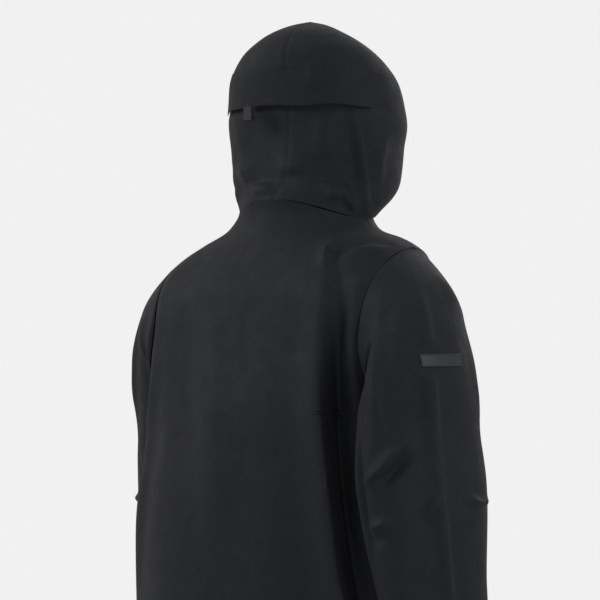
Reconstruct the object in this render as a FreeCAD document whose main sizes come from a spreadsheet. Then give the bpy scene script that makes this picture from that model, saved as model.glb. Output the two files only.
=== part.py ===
"""Hooded waterproof shell jacket, in millimetres.

+Z is up, the jacket faces -Y and the wearer's left is +X. The origin is the
centre of the neck at the height of the nape seam. The fabric bodies are lofted
through oval rings, from a larger and a smaller set, and are trimmed to panels.
"""
import FreeCAD, Part
import math
import os

V = FreeCAD.Vector
SIDES = {"left": 1, "right": -1}

SIZES = {
    # fabric
    "fabric": 1.5, "ply": 1.0, "ply_gap": 0.2, "seam_gap": 0.3,
    # torso rings: half width, half depth, height
    "hem_wide": 238, "hem_deep": 151, "hem_high": -740,
    "waist_wide": 214, "waist_deep": 147, "waist_high": -470,
    "underarm_wide": 203, "underarm_deep": 141, "underarm_high": -305,
    "yoke_wide": 250, "yoke_deep": 129, "yoke_high": -200,
    "shoulder_wide": 222, "shoulder_deep": 113, "shoulder_high": -110,
    "slope_wide": 160, "slope_deep": 98, "slope_high": -60,
    "neck_wide": 108, "neck_deep": 90, "neck_high": -25,
    "collar_wide": 108, "collar_deep": 92, "collar_high": 30,
    # the straight line of the front opening
    "front_hem_y": -95, "front_lean": 0.007, "front_slot": 5,
    "side_seam_y": 40, "armhole_plane": 205,
    # sleeve rings: half width across, half depth front to back, centre, height
    "armhole_across": 91, "armhole_deep": 93, "armhole_low": -283, "sleeve_plane": 206.5,
    "cap_across": 74, "cap_deep": 101, "cap_low": -292, "cap_tilt": 40,
    "biceps_across": 54, "biceps_deep": 108, "biceps_out": 275.5, "biceps_high": -302,
    "elbow_across": 58, "elbow_deep": 106, "elbow_out": 283.5, "elbow_high": -390,
    "forearm_across": 54, "forearm_deep": 86, "forearm_out": 291, "forearm_high": -540,
    "cuff_across": 50, "cuff_deep": 68, "cuff_out": 300, "cuff_high": -690,
    "elbow_round": 126, "sleeve_turn": 20, "elbow_clear": 1.5,
    "right_armhole_y": 38, "right_biceps_y": 78, "right_elbow_y": 75, "right_forearm_y": 82,
    "right_cuff_y": 70,
    "left_armhole_y": 32, "left_biceps_y": -8, "left_elbow_y": -54, "left_forearm_y": -70,
    "left_cuff_y": -85,
    # hood rings: half width, half depth, centre, height
    "jaw_wide": 116, "jaw_deep": 99, "jaw_y": -13, "jaw_high": 30,
    "ear_wide": 130, "ear_deep": 111, "ear_y": -28, "ear_high": 90,
    "brow_wide": 136, "brow_deep": 115, "brow_y": -35, "brow_high": 155,
    "temple_wide": 125, "temple_deep": 106, "temple_y": -36, "temple_high": 218,
    "crown_wide": 92, "crown_deep": 80, "crown_y": -32, "crown_high": 258,
    "top_wide": 40, "top_deep": 36, "top_y": -27, "top_high": 280,
    "hood_pivot_y": -10, "hood_pivot_z": 130, "hood_round": 150, "hood_clear": 1.5,
    "hood_turn": 13,
    "face_round": 104, "face_high": 135, "face_reach_y": -50, "binding": 10,
    "brim_thick": 1.6, "brim_back_y": -122, "brim_long": 38, "brim_low": 190, "brim_clear": 1.2,
    "flap_low": 153, "flap_tall": 45, "flap_half": 88, "flap_lift": 0.6,
    # trims
    "facing_tall": 28, "neck_facing_tall": 34, "zip_flap_half": 22,
    "label_half": 22, "label_tall": 24, "loop_wide": 56, "loop_tall": 12, "loop_thick": 2,
    "patch_half": 36, "patch_tall": 17, "patch_high": -224, "patch_y": 88,
    "tab_long": 70, "tab_tall": 26, "tab_rise": 24, "pad_long": 60,
    # slide fasteners
    "front_zip_long": 712, "pocket_zip_long": 165, "pocket_angle": 51, "pocket_start": 0.2,
    "tape_half": 10, "tape_thick": 0.8, "tape_depth": 2.0, "slit": 0.4,
    "coil_round": 1.1, "coil_apart": 1.35, "coil_depth": 0.8,
    "slider_wide": 8.6, "slider_tall": 13, "slider_out": 2.6,
    "pin_round": 0.7, "pin_out": 4.7, "pin_up": 6.5, "eye_round": 1.75, "pull_long": 28,
    # cord locks
    "lock_wide": 16, "lock_deep": 9, "lock_tall": 20, "button_round": 3.0,
    "button_long": 13, "button_proud": 5, "bore_round": 3.4, "cord_hole": 1.6, "lock_angle": 50,
    "hood_lock_high": 126, "hood_lock_aside": 55, "lock_gap": 0.9,
}

doc = FreeCAD.newDocument("shell_jacket")
sheet = doc.addObject("Spreadsheet::Sheet", "sizes")
for row, (alias, value) in enumerate(SIZES.items(), start=1):
    sheet.set(f"A{row}", alias)
    sheet.set(f"B{row}", str(value))
    sheet.setAlias(f"B{row}", alias)
doc.recompute()

PIECES = []


def cell(alias):
    return f"sizes.{alias}"


def bind(item, **formulas):
    for name, formula in formulas.items():
        item.setExpression(name, formula)
    return item


def piece(item, label):
    item.Label = label
    PIECES.append(item)
    return item


def box(name, place, length, width, height):
    item = doc.addObject("Part::Box", name)
    bind(item, Length=length, Width=width, Height=height)
    item.Placement = place
    return item


def rod(name, place, radius, height):
    item = doc.addObject("Part::Cylinder", name)
    bind(item, Radius=radius, Height=height)
    item.Placement = place
    return item


def at(x, y, z, rotation=FreeCAD.Rotation()):
    return FreeCAD.Placement(V(x, y, z), rotation)


def cut(name, base, tool):
    item = doc.addObject("Part::Cut", name)
    item.Base = base
    item.Tool = tool
    item.Refine = False
    return item


def common(name, base, tool):
    item = doc.addObject("Part::Common", name)
    item.Base = base
    item.Tool = tool
    return item


def fuse(name, *items):
    item = doc.addObject("Part::MultiFuse", name)
    item.Shapes = list(items)
    return item


# ---------------------------------------------------------------- oval rings
def ring(name, major, minor, centre, rotation):
    item = doc.addObject("Part::Ellipse", name)
    item.Placement = FreeCAD.Placement(V(0, 0, 0), rotation)
    item.setExpression("MajorRadius", major)
    item.setExpression("MinorRadius", minor)
    for axis, formula in zip("xyz", centre):
        item.setExpression(f"Placement.Base.{axis}", formula)
    return item


def loft(name, rings):
    item = doc.addObject("Part::Loft", name)
    item.Sections = rings
    item.Solid = True
    item.Ruled = True
    return item


def skin(name, rings, outside, inside):
    """The cloth between two lofts. Offsets grow outwards and are sheet formulas."""
    outer = loft(f"{name}_outer", rings(f"{name}_o", outside, 0))
    inner = loft(f"{name}_inner", rings(f"{name}_i", inside, 3))
    return cut(name, outer, inner)


UPRIGHT = FreeCAD.Rotation()
TORSO_RINGS = ("hem", "waist", "underarm", "yoke", "shoulder", "slope", "neck", "collar")


def level_ring(tag, spot, offset, shift):
    """A level ring; the torso's rings all touch the straight line of the front."""
    deep, high = cell(f"{spot}_deep"), cell(f"{spot}_high")
    centre_y = cell(f"{spot}_y")
    if spot in TORSO_RINGS:
        centre_y = (f"{cell('front_hem_y')} + ({high} - {cell('hem_high')})"
                    f" * {cell('front_lean')} + {deep}")
    return ring(f"{tag}_{spot}", f"{cell(spot + '_wide')} + {offset}", f"{deep} + {offset}",
                ("0", centre_y, f"{high} + {shift}"), UPRIGHT)


def torso_rings(tag, offset, reach):
    """With a reach, straight ends go past the hem and the collar, to cut them open."""
    ends = [("hem", -reach)] if reach else []
    ends += [(spot, 0) for spot in TORSO_RINGS]
    ends += [("collar", reach)] if reach else []
    return [level_ring(tag, spot, offset, shift) for spot, shift in ends]


def torso_at(angle, fraction):
    """A point of the outside between hem and waist, and its outward normal."""
    low, top = (
        (SIZES[f"{spot}_wide"], SIZES[f"{spot}_deep"], SIZES[f"{spot}_high"])
        for spot in ("hem", "waist"))
    wide, deep, high = (a + (b - a) * fraction for a, b in zip(low, top))
    centre = SIZES["front_hem_y"] + (high - SIZES["hem_high"]) * SIZES["front_lean"] + deep
    turn = math.radians(angle)
    point = V(wide * math.cos(turn), centre - deep * math.sin(turn), high)
    return point, V(math.cos(turn) / wide, -math.sin(turn) / deep, 0).normalize()


SLEEVE_ORDER = ("armhole", "cap", "biceps", "elbow", "forearm", "cuff")


def sleeve_rotation(side, tilt):
    """Long axis front to back; the ring leans from upright (0) to level (90).

    A level ring's long axis is also turned, so its back end is nearer the torso.
    """
    lean = math.radians(tilt)
    down = V(-side * math.sin(lean), 0, -math.cos(lean))
    along = V(0, 1, 0)
    upright = FreeCAD.Rotation(along, down, along.cross(down), "XYZ")
    turn = side * SIZES["sleeve_turn"] * tilt / 90
    return FreeCAD.Rotation(V(0, 0, 1), turn).multiply(upright)


def sleeve_ring(tag, side_name, spot, offset, reach):
    side = SIDES[side_name]
    across, deep = cell(f"{spot}_across"), cell(f"{spot}_deep")
    if spot == "armhole":
        tilt = 0
        centre = (f"{side} * ({cell('sleeve_plane')} - {reach})",
                  cell(f"{side_name}_armhole_y"), f"{cell('armhole_low')} + {across}")
    elif spot == "cap":
        tilt = SIZES["cap_tilt"]
        lean = cell("cap_tilt")
        middle = f"({cell(side_name + '_armhole_y')} + {cell(side_name + '_biceps_y')}) / 2"
        centre = (f"{side} * ({cell('sleeve_plane')} + 1 + {across} * sin({lean} * 1deg))",
                  middle, f"{cell('cap_low')} + {across} * cos({lean} * 1deg)")
    else:
        tilt = 90
        centre = (f"{side} * {cell(spot + '_out')}", cell(f"{side_name}_{spot}_y"),
                  f"{cell(spot + '_high')} - {reach}")
    return ring(f"{tag}_{spot}", f"{deep} + {offset}", f"{across} + {offset}", centre,
                sleeve_rotation(side, tilt))


def sleeve_rings(side_name, first="armhole", last="cuff"):
    spots = SLEEVE_ORDER[SLEEVE_ORDER.index(first):SLEEVE_ORDER.index(last) + 1]

    def made(tag, offset, reach):
        start = [(spots[0], reach)] if reach and spots[0] == "armhole" else []
        end = [(spots[-1], reach)] if reach else []
        row = start + [(spot, 0) for spot in spots] + end
        return [sleeve_ring(tag, side_name, spot, offset, shift) for spot, shift in row]
    return made


HOOD_ORDER = ("slope", "neck", "jaw", "ear", "brow", "temple", "crown", "top")


def hood_rings(tag, offset, reach):
    start = [("slope", -reach)] if reach else []
    row = start + [(spot, offset if spot == "top" else 0) for spot in HOOD_ORDER]
    return [level_ring(tag, spot, offset, shift) for spot, shift in row]


# ------------------------------------------------------------- trimming tools
REACH = 900


def block(name, low, high):
    """A trimming block between two corners."""
    span = [b - a for a, b in zip(low, high)]
    return box(name, at(*low), *(str(length) for length in span))


def cross_rod(name, y, z, radius):
    """A cylinder on an axis that runs from side to side."""
    return rod(name, at(-REACH / 2, y, z, FreeCAD.Rotation(V(0, 1, 0), 90)), radius, str(REACH))


def look_left(item):
    """Turns a finished piece of the hood about the neck, as the head is turned."""
    turn = FreeCAD.Placement(V(0, 0, 0), FreeCAD.Rotation(V(0, 0, 1), SIZES["hood_turn"]))
    item.Placement = turn.multiply(item.Placement)
    return item


def front_rod(name, radius, y_back):
    """A cylinder that runs forwards from y_back at the face opening."""
    return rod(name, at(0, y_back, SIZES["face_high"], FreeCAD.Rotation(V(1, 0, 0), 90)),
               radius, str(REACH / 2))


# --------------------------------------------------------------- torso panels
def torso():
    ply = f"{cell('fabric')} + {cell('ply_gap')}"
    body = skin("torso_cloth", torso_rings, "0", f"-{cell('fabric')}")
    plane = SIZES["armhole_plane"]
    armholes = fuse("armholes", *(
        block(f"armhole_{name}", (min(side * plane, side * REACH), -REACH, SIZES["underarm_high"]),
              (max(side * plane, side * REACH), REACH, REACH)) for name, side in SIDES.items()))
    neck = look_left(cross_rod("neck_hole", SIZES["hood_pivot_y"], SIZES["hood_pivot_z"],
                               f"{cell('hood_round')} + {cell('hood_clear')}"))
    over_neck = block("over_neck", (-REACH, -REACH, SIZES["collar_high"] - 10),
                      (REACH, REACH, REACH))
    away = fuse("torso_away", armholes, neck, over_neck)
    trimmed = cut("torso_trimmed", body, away)

    seam, half_gap = SIZES["side_seam_y"], SIZES["seam_gap"] / 2
    back_half = block("back_half", (-REACH, seam + half_gap, -REACH), (REACH, REACH, REACH))
    piece(common("back", trimmed, back_half), "back_panel")
    slot = SIZES["front_slot"]
    for name, side in SIDES.items():
        inner, outer = sorted((side * slot, side * REACH))
        front = block(f"front_{name}_half", (inner, -REACH, -REACH),
                      (outer, seam - half_gap, REACH))
        blank = common(f"front_{name}_blank", trimmed, front)
        frame = pocket_frame(name)
        opening = box(f"pocket_opening_{name}", frame.multiply(at(-slot, -8, -2)),
                      str(2 * slot), "16", f"{cell('pocket_zip_long')} + 4")
        piece(cut(f"front_{name}", blank, opening), f"front_panel_{name}")

    inside = skin("torso_facing", torso_rings, f"-({ply})", f"-({ply} + {cell('ply')})")
    facing = cut("torso_facing_trimmed", inside, away)
    hem = SIZES["hem_high"]
    hem_band = block("hem_band", (-REACH, -REACH, hem + 2), (REACH, REACH, hem + 2
                     + SIZES["facing_tall"]))
    behind_zip = block("zip_gap", (-14, -REACH, -REACH), (14, 0, REACH))
    piece(cut("hem_facing_open", common("hem_facing_ring", facing, hem_band), behind_zip),
          "hem_facing")
    low = -SIZES["neck_facing_tall"] - 20
    nape = block("nape_band", (-80, seam + 20, low), (80, REACH, REACH))
    piece(common("nape_facing", facing, nape), "neck_facing")

    deeper = f"{ply} + {cell('ply')} + 0.5"
    inmost = skin("torso_inmost", torso_rings, f"-({deeper})", f"-({deeper} + {cell('ply')})")
    inmost = cut("inmost_trimmed", inmost, away)
    half = SIZES["zip_flap_half"]
    flap = block("flap_band", (-half, -REACH, hem + 40), (half, 0, -35))
    piece(common("flap_strip", inmost, flap), "inner_zip_flap")
    guard = block("guard_band", (-half, -REACH, -34.5), (half, 0, REACH))
    piece(common("guard_strip", inmost, guard), "chin_guard")
    label = SIZES["label_half"]
    tag = block("label_band", (-label, 0, low - 2), (label, REACH, low - 2 + SIZES["label_tall"]))
    piece(common("label_patch", inmost, tag), "neck_label")
    for name, side in SIDES.items():
        near, far = sorted((side * 60, side * 178))
        bag = block(f"bag_{name}_band", (near, -REACH, -705), (far, 0, -490))
        piece(common(f"bag_{name}", inmost, bag), f"pocket_bag_{name}")

    wide, tall, thick = cell("loop_wide"), cell("loop_tall"), cell("loop_thick")
    x, y, z = -SIZES["loop_wide"] / 2, 72, -14
    strip = box("loop_strip", at(x, y, z), wide, thick, tall)
    hole = box("loop_hole", at(x + 8, y - 1, z + 3), f"{wide} - 16", f"{thick} + 2",
               f"{tall} - 6")
    piece(cut("loop", strip, hole), "hanger_loop")


# ------------------------------------------------------------- slide fasteners
def line_frame(start, end, outward):
    """Z along the fastener, -Y outwards from the cloth."""
    up = (end - start).normalize()
    back = (outward.negative() + up * outward.dot(up)).normalize()
    return FreeCAD.Placement(start, FreeCAD.Rotation(back.cross(up), back, up, "XYZ"))


def pocket_frame(name):
    angle = SIZES["pocket_angle"] if name == "left" else 180 - SIZES["pocket_angle"]
    start, outward = torso_at(angle, SIZES["pocket_start"])
    end, _ = torso_at(angle, 1)
    return line_frame(start, end, outward)


def front_frame():
    lean, hem = SIZES["front_lean"], SIZES["hem_high"]
    lift = 12
    start = V(0, SIZES["front_hem_y"] + lift * lean, hem + lift)
    return line_frame(start, start + V(0, lean, 1), V(0, -1, 0))


def slider_and_pull(prefix, suffix, frame, height):
    """A slider that straddles both rows of teeth, and the pull on its pin."""
    tall, wide, out = cell("slider_tall"), cell("slider_wide"), SIZES["slider_out"]
    key = f"{prefix}{suffix}"

    def spot(x, y, z, rotation=FreeCAD.Rotation()):
        return frame.multiply(at(x, y, height + z, rotation))
    half = SIZES["slider_wide"] / 2
    channel = SIZES["coil_apart"] + SIZES["coil_round"] + 0.45
    plate = box(f"{key}_plate", spot(-half, -out, 0), wide,
                f"{cell('slider_out')} + {cell('tape_depth')} - 0.3", tall)
    way = box(f"{key}_way", spot(-channel, -0.7, -1), str(2 * channel), "5", f"{tall} + 2")
    pin_out, pin_up = SIZES["pin_out"], SIZES["pin_up"]
    posts = [box(f"{key}_post_{n}", spot(x, -pin_out - 1.2, pin_up - 2.5), "1.2",
                 f"{cell('pin_out')} - {cell('slider_out')} + 1.4", "5")
             for n, x in enumerate((-2.8, 1.6))]
    across = FreeCAD.Rotation(V(0, 1, 0), 90)
    pin = rod(f"{key}_pin", spot(-2, -pin_out, pin_up, across), cell("pin_round"), "4")
    saddle = cut(f"{key}_saddle", plate, way)
    piece(fuse(f"{key}_slider", saddle, *posts, pin), f"{prefix}_slider{suffix}")

    eye = rod(f"{key}_eye", spot(-1.3, -pin_out, pin_up, across), cell("eye_round"), "2.6")
    stem = box(f"{key}_stem", spot(-1.3, -pin_out - 0.8, pin_up - 7), "2.6", "1.6", "7")
    grip = box(f"{key}_grip", spot(-2.8, -pin_out - 0.8, pin_up - SIZES["pull_long"]), "5.6",
               "1.6", f"{cell('pull_long')} - 5")
    hole = rod(f"{key}_hole", spot(-3, -pin_out, pin_up, across), f"{cell('pin_round')} + 0.35",
               "6")
    body = fuse(f"{key}_pull_blank", eye, stem, grip)
    piece(cut(f"{key}_pull", body, hole), f"{prefix}_pull{suffix}")


def teeth(key, frame, x, long):
    return rod(key, frame.multiply(at(x, SIZES["coil_depth"], 0)), cell("coil_round"), long)


def front_zip():
    frame = front_frame()
    long, thick, depth = cell("front_zip_long"), cell("tape_thick"), SIZES["tape_depth"]
    slit, half = SIZES["slit"], SIZES["tape_half"]
    for name, side in SIDES.items():
        x = slit if side > 0 else -half
        piece(box(f"front_tape_{name}", frame.multiply(at(x, depth, -9)),
                  f"{cell('tape_half')} - {cell('slit')}", thick, f"{long} + 14"),
              f"front_zip_tape_{name}")
        piece(teeth(f"front_coil_{name}", frame, side * SIZES["coil_apart"], long),
              f"front_zip_coil_{name}")
    stops = [box(f"stop_{name}", frame.multiply(at(-1.2 + side * 1.8, -0.4,
                 SIZES["front_zip_long"] + 0.3)), "2.4", "2.2", "3")
             for name, side in SIDES.items()]
    piece(fuse("top_stops", *stops), "front_zip_top_stops")
    retainer = box("retainer", frame.multiply(at(-4, -1.2, -9)), "8", "3", "8.6")
    socket = box("socket", frame.multiply(at(0.2, -0.2, -10)), "2.6", "3", "11")
    piece(cut("bottom_box", retainer, socket), "front_zip_bottom_box")
    piece(box("insertion_pin", frame.multiply(at(0.7, 0.1, -8.5)), "1.6", "1.4", "8.2"),
          "front_zip_insertion_pin")
    slider_and_pull("front_zip", "", frame, SIZES["front_zip_long"] - 20)


def pocket_zips():
    long = cell("pocket_zip_long")
    for name in SIDES:
        frame = pocket_frame(name)
        half, depth, slit = SIZES["tape_half"], SIZES["tape_depth"], SIZES["slit"]
        strip = box(f"pocket_tape_{name}_strip", frame.multiply(at(-half, depth, -6)),
                    f"2 * {cell('tape_half')}", cell("tape_thick"), f"{long} + 12")
        parting = box(f"pocket_tape_{name}_slit", frame.multiply(at(-slit, depth - 1, 0)),
                      f"2 * {cell('slit')}", "3", long)
        piece(cut(f"pocket_tape_{name}", strip, parting), f"pocket_zip_tape_{name}")
        rows = [teeth(f"pocket_coil_{name}_{side}", frame, side * SIZES["coil_apart"], long)
                for side in (1, -1)]
        stop = box(f"pocket_stop_{name}", frame.multiply(at(-2.4, -0.2, 0)), "4.8", "2", "2")
        piece(fuse(f"pocket_coil_{name}", *rows, stop), f"pocket_zip_coil_{name}")
        slider_and_pull("pocket_zip", f"_{name}", frame, SIZES["pocket_zip_long"] - 15)


# ------------------------------------------------------------------ cord locks
def cord_lock(prefix, suffix, place):
    """A lock: X across, -Y is the exposed face, the button stands up in +Z."""
    key = f"{prefix}{suffix}"
    wide, tall = SIZES["lock_wide"], SIZES["lock_tall"]
    middle = SIZES["lock_deep"] / 2
    case = box(f"{key}_case", place.multiply(at(-wide / 2, 0, 0)), cell("lock_wide"),
               cell("lock_deep"), cell("lock_tall"))
    floor = tall - (SIZES["button_long"] - SIZES["button_proud"]) - 4
    bore = rod(f"{key}_bore", place.multiply(at(0, middle, floor)), cell("bore_round"),
               f"{cell('lock_tall')}")
    way = rod(f"{key}_way", place.multiply(at(-wide, middle, 4, FreeCAD.Rotation(V(0, 1, 0), 90))),
              cell("cord_hole"), f"2 * {cell('lock_wide')}")
    piece(cut(f"{key}_shell", case, fuse(f"{key}_holes", bore, way)),
          f"{prefix}_lock_housing{suffix}")
    low = tall + SIZES["button_proud"] - SIZES["button_long"]
    piece(rod(f"{key}_push", place.multiply(at(0, middle, low)), cell("button_round"),
              cell("button_long")), f"{prefix}_lock_button{suffix}")


def hem_locks():
    for name, side in SIDES.items():
        angle = SIZES["lock_angle"] if side > 0 else 180 - SIZES["lock_angle"]
        point, outward = torso_at(angle, 0)
        inward = outward.negative()
        seat = point + inward * (SIZES["fabric"] + SIZES["ply"] + 2)
        up = V(0, 0, 1)
        place = FreeCAD.Placement(seat + up * 5, FreeCAD.Rotation(inward.cross(up), inward, up,
                                                                 "XYZ"))
        cord_lock("hem", f"_{name}", place)


# --------------------------------------------------------------------- sleeves
def elbow_region(name, side_name, grow):
    """Everything that turns with the forearm: below the elbow, or near its axis."""
    y, z = SIZES[f"{side_name}_elbow_y"], SIZES["elbow_high"]
    round_end = cross_rod(f"{name}_round", y, z, f"{cell('elbow_round')} + {grow}")
    below = block(f"{name}_below", (-REACH, -REACH, z - REACH), (REACH, REACH, z))
    return fuse(name, round_end, below)


def sleeves():
    for name, side in SIDES.items():
        whole = skin(f"sleeve_{name}", sleeve_rings(name), "0", f"-{cell('fabric')}")
        turning = elbow_region(f"forearm_region_{name}", name, "0")
        wider = elbow_region(f"elbow_clear_{name}", name, cell("elbow_clear"))
        piece(cut(f"upper_{name}", whole, wider), f"{name}_upper_sleeve")
        piece(common(f"lower_{name}", whole, turning), f"{name}_lower_sleeve")
        cuff(name, side)
    patch()


def cuff(name, side):
    end = sleeve_rings(name, "forearm", "cuff")
    ply = f"{cell('fabric')} + {cell('ply_gap')}"
    low = SIZES["cuff_high"]
    lining = skin(f"cuff_lining_{name}", end, f"-({ply})", f"-({ply} + {cell('ply')})")
    band = block(f"cuff_band_{name}", (-REACH, -REACH, low + 2),
                 (REACH, REACH, low + 2 + SIZES["facing_tall"]))
    piece(common(f"cuff_ring_{name}", lining, band), f"{name}_cuff_facing")

    y, rise = SIZES[f"{name}_cuff_y"], SIZES["tab_rise"]
    out = SIZES["cuff_out"]
    near, far = sorted((side * out, side * REACH))
    for kind, lift, thick, long, tall in (
            ("pad", 0.3, 1.0, SIZES["pad_long"], SIZES["tab_tall"] - 4),
            ("tab", 2.2, 1.4, SIZES["tab_long"], SIZES["tab_tall"])):
        layer = skin(f"{kind}_layer_{name}", end, f"{lift + thick}", f"{lift}")
        foot = low + rise + (SIZES["tab_tall"] - tall) / 2
        window = block(f"{kind}_window_{name}", (near, y - long / 2, foot),
                       (far, y + long / 2, foot + tall))
        label = f"{name}_cuff_loop_pad" if kind == "pad" else f"{name}_cuff_tab"
        piece(common(f"{kind}_{name}", layer, window), label)


def patch():
    layer = skin("patch_layer", sleeve_rings("right", "cap", "biceps"), "1.3", "0.3")
    y, z, half = SIZES["patch_y"], SIZES["patch_high"], SIZES["patch_half"]
    tall = SIZES["patch_tall"]
    window = block("patch_window", (-REACH, y - half, z - tall / 2),
                   (-SIZES["biceps_out"], y + half, z + tall / 2))
    piece(common("patch_piece", layer, window), "sleeve_patch")


# ------------------------------------------------------------------------ hood
def hood():
    y, z = SIZES["hood_pivot_y"], SIZES["hood_pivot_z"]
    whole = skin("hood_cloth", hood_rings, "0", f"-{cell('fabric')}")
    turning = fuse("hood_region", cross_rod("hood_end", y, z, cell("hood_round")),
                   block("hood_above", (-REACH, -REACH, z), (REACH, REACH, REACH)))
    face = front_rod("face_hole", cell("face_round"), SIZES["face_reach_y"])
    open_hood = cut("hood_open", common("hood_trimmed", whole, turning), face)
    gap = SIZES["seam_gap"] / 2
    for name, side in SIDES.items():
        near, far = sorted((side * gap, side * REACH))
        half = block(f"hood_half_{name}", (near, -REACH, -REACH), (far, REACH, REACH))
        piece(look_left(common(f"hood_{name}", open_hood, half)), f"hood_{name}_panel")

    ply = f"{cell('fabric')} + {cell('ply_gap')}"
    lining = skin("hood_lining", hood_rings, f"-({ply})", f"-({ply} + {cell('ply')})")
    wide_rod = front_rod("binding_outer", f"{cell('face_round')} + {cell('binding')}",
                         SIZES["face_reach_y"])
    inner_rod = front_rod("binding_inner", cell("face_round"), SIZES["face_reach_y"] + 1)
    band = cut("binding_band", wide_rod, inner_rod)
    piece(look_left(common("edge_binding", lining, band)), "hood_edge_binding")

    fold = skin("flap_layer", hood_rings, f"{cell('flap_lift')} + {cell('ply')}",
                cell("flap_lift"))
    low, half = SIZES["flap_low"], SIZES["flap_half"]
    window = block("flap_window", (-half, 0, low), (half, REACH, low + SIZES["flap_tall"]))
    piece(look_left(common("flap_piece", fold, window)), "hood_rear_flap")

    clear = SIZES["brim_clear"]
    back = SIZES["brim_back_y"]
    lower = rod("brim_solid", at(0, back, SIZES["face_high"], FreeCAD.Rotation(V(1, 0, 0), 90)),
                f"{cell('face_round')} - {clear}", cell("brim_long"))
    hollow = rod("brim_hollow", at(0, back + 1, SIZES["face_high"],
                                   FreeCAD.Rotation(V(1, 0, 0), 90)),
                 f"{cell('face_round')} - {clear} - {cell('brim_thick')}",
                 f"{cell('brim_long')} + 2")
    arch = cut("brim_arch", lower, hollow)
    over = block("brim_over", (-REACH, -REACH, SIZES["brim_low"]), (REACH, 0, REACH))
    piece(look_left(common("brim_piece", arch, over)), "hood_brim")

    high, aside = SIZES["hood_lock_high"], SIZES["hood_lock_aside"]
    share = (high - SIZES["ear_high"]) / (SIZES["brow_high"] - SIZES["ear_high"])
    wide, deep, centre = (
        SIZES[f"ear_{key}"] + (SIZES[f"brow_{key}"] - SIZES[f"ear_{key}"]) * share
        for key in ("wide", "deep", "y"))
    reach = deep * math.sqrt(1 - (aside / wide) ** 2)
    outward = V(aside / wide ** 2, reach / deep ** 2, 0).normalize()
    seat = V(aside, centre + reach, high) + outward * (SIZES["lock_gap"] + SIZES["lock_deep"])
    facing = 180 - math.degrees(math.atan2(outward.x, outward.y))
    place = FreeCAD.Placement(seat, FreeCAD.Rotation(V(0, 0, 1), facing))
    turn = FreeCAD.Placement(V(0, 0, 0), FreeCAD.Rotation(V(0, 0, 1), SIZES["hood_turn"]))
    cord_lock("hood", "", turn.multiply(place))


torso()
front_zip()
pocket_zips()
hem_locks()
sleeves()
hood()
doc.recompute()

for item in doc.Objects:
    bad = [state for state in item.State if state in ("Invalid", "Error")]
    if bad:
        raise RuntimeError(f"{item.Name} is {bad}")
os.makedirs("parts", exist_ok=True)
for item in PIECES:
    shape = item.Shape
    if shape.isNull() or not shape.isValid() or not shape.Solids:
        raise RuntimeError(f"{item.Label} has no valid solid")
    print(f"{item.Label:26s} solids {len(shape.Solids)} volume {shape.Volume:10.1f}")
for item in PIECES:
    item.Shape.exportStep(f"parts/{item.Label}.step")
print(len(PIECES), "pieces")
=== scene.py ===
"""Hooded waterproof shell jacket: cloth panels, slide fasteners and trims, as an add-on.

Lengths in the shape functions are millimetres; meshes are stored in metres. +Z is up,
the front faces -Y and the wearer's left is +X.
"""
import bpy
import math
import numpy as np
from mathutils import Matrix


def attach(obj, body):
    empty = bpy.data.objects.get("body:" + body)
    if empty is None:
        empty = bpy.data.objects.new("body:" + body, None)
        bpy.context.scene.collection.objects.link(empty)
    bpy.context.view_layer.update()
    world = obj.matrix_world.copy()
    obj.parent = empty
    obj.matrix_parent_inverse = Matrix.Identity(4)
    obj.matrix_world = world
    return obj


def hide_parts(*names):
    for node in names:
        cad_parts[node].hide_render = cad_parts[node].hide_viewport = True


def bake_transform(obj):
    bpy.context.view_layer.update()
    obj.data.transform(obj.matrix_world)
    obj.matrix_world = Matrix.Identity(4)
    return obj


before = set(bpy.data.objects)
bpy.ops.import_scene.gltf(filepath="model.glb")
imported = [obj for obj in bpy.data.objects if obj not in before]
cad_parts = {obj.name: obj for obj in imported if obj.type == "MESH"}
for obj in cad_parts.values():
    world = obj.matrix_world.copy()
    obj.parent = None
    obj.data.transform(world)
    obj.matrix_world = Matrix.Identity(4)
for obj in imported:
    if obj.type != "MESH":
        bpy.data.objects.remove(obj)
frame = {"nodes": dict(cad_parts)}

bl_info = {
    "name": "Shell Jacket Maker",
    "version": (1, 0, 0),
    "blender": (4, 5, 0),
    "location": "View3D > Sidebar > Jacket",
    "description": "Builds a hooded waterproof shell jacket on its solid frame",
    "category": "Object",
}

MM = 0.001
SIDES = {"left": 1, "right": -1}
HEM_Z, FRONT_Y, LEAN = -740.0, -95.0, 0.007
HEAD_TURN, SLEEVE_TURN = math.radians(13), math.radians(20)
UNDERARM_Z, SHOULDER_Z, ARMHOLE_X = -305.0, -80.0, 204.0
ELBOW_Z = -400.0
ARMHOLE_SCOOP, SLEEVE_LONG = 16, 620
TRUNK_MIDDLE, HOOD_MIDDLE = np.array((0, 35, 0)), np.array((8, -25, 120))

# height, half width, half depth, and how much fuller the back is than the front
TORSO = np.array([
    (-740, 238, 151, 6), (-600, 225.6, 148.9, 9), (-470, 214, 147, 11), (-305, 203, 141, 7),
    (-200, 250, 129, 0), (-120, 240, 118, 0), (-96, 224, 111.5, 0), (-80, 204, 105.5, 0),
    (-58, 167, 99, 0), (-38, 127, 93, 0), (-20, 109, 90.5, 0), (30, 108, 92, 0)], float)
# height, half width, half depth, centre
HOOD = np.array([
    (-20, 109, 90, -6), (8, 121, 103, -29), (30, 126, 109, -43), (60, 131, 113, -49),
    (90, 133, 114, -52), (123, 137, 116, -54), (155, 134, 114, -48), (190, 127, 108, -36),
    (212, 115, 98, -25), (230, 100, 85, -15), (247, 79, 67, -10), (261, 55, 48, -9),
    (272, 30, 26, -13), (279, 1, 1, -18)], float)
FACE_ROUND, FACE_Z = 104.0, 135.0
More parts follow.
